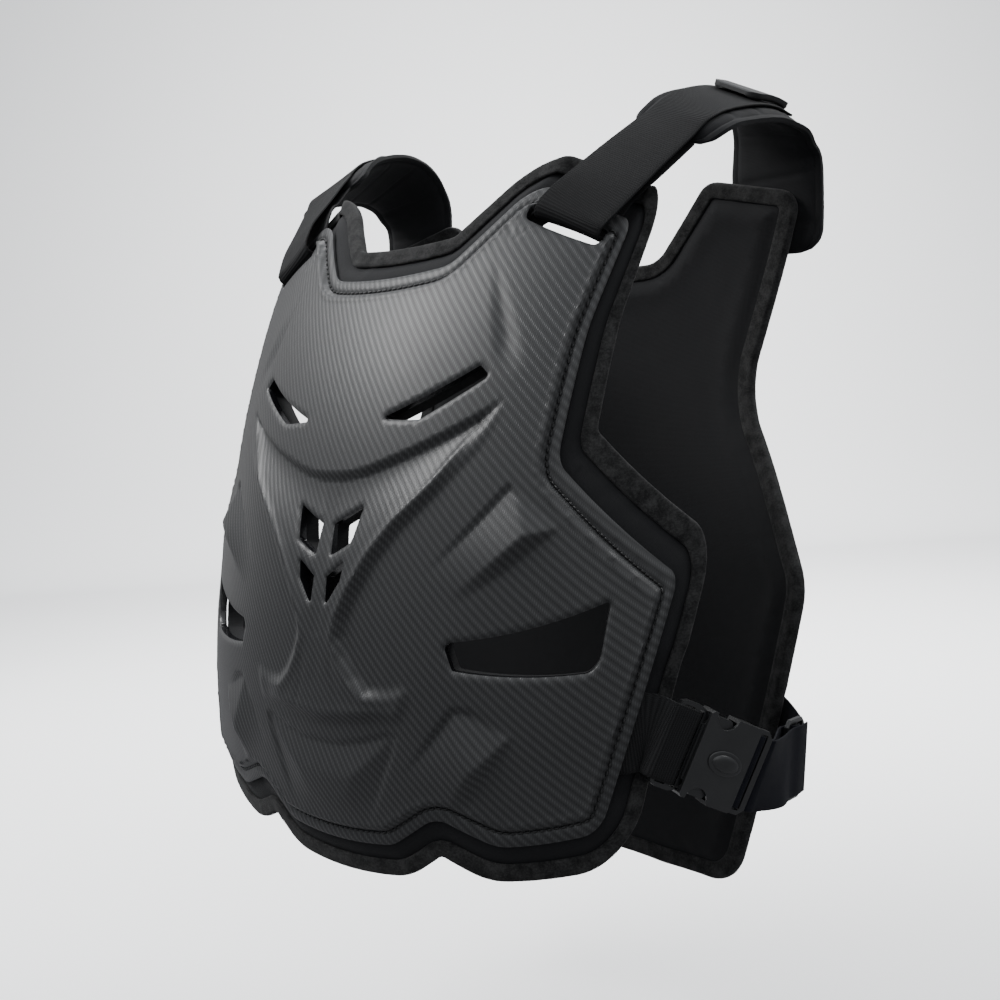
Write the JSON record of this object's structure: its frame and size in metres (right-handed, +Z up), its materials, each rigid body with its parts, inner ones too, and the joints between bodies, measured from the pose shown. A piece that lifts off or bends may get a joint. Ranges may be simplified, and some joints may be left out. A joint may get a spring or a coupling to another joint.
{
  "type": "chest protector",
  "caption": "Chest protector with a moulded front shell on a foam pad, a plain back pad, padded shoulder straps and side straps with side-release buckles.",
  "frame": {"origin": "midway between the shoulders, where the protector sits on the wearer", "axes": "+X to the wearer's left, -Y out of the chest, +Z up"},
  "size_m": [0.4562, 0.3152, 0.5489],
  "materials": {
    "carbon_vinyl": "satin dark grey moulded vinyl with a fine diagonal twill",
    "pad_fabric": "smooth near-black knit over foam",
    "edging": "black brushed elastic edging",
    "webbing": "black ribbed webbing",
    "elastic": "very dark navy elastic",
    "buckle_plastic": "satin black moulded plastic",
    "rubber_tab": "matt black rubber"
  },
  "bodies": {
    "root": {"chest_shell": "carbon_vinyl", "chest_pad": "pad_fabric", "chest_binding": "edging", "back_pad": "pad_fabric", "back_binding": "edging", "shoulder_yoke_left": "pad_fabric", "shoulder_strap_left": "webbing", "strap_tab_left": "rubber_tab", "side_web_left": "webbing", "buckle_prong_left": "buckle_plastic", "buckle_socket_left": "buckle_plastic", "slider_left": "buckle_plastic", "side_elastic_left": "elastic", "shoulder_yoke_right": "pad_fabric", "shoulder_strap_right": "webbing", "strap_tab_right": "rubber_tab", "side_web_right": "webbing", "buckle_prong_right": "buckle_plastic", "buckle_socket_right": "buckle_plastic", "slider_right": "buckle_plastic", "side_elastic_right": "elastic"}
  },
  "joints": []
}
